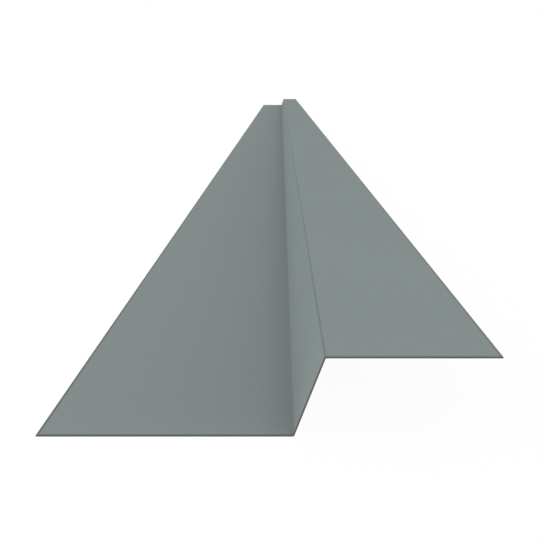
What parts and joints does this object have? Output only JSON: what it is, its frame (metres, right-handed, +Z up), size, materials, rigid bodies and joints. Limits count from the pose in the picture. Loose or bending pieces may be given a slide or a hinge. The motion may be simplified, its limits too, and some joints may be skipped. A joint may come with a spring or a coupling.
{
  "type": "z-bar flashing",
  "caption": "Length of painted sheet-steel flashing folded to a stepped Z section: a wide lower flange, a short sloping web and a narrower upper flange, to carry water over a joint.",
  "frame": {"origin": "on the floor under the middle of the section's width, halfway along the stock", "axes": "+X across the section from the lower flange to the upper flange, +Y along the stock, +Z up from the lower flange to the upper flange"},
  "size_m": [0.136, 3.048, 0.0251],
  "materials": {
    "painted_sheet": "matte"
  },
  "bodies": {
    "root": {"folded_sheet": "painted_sheet"}
  },
  "joints": []
}
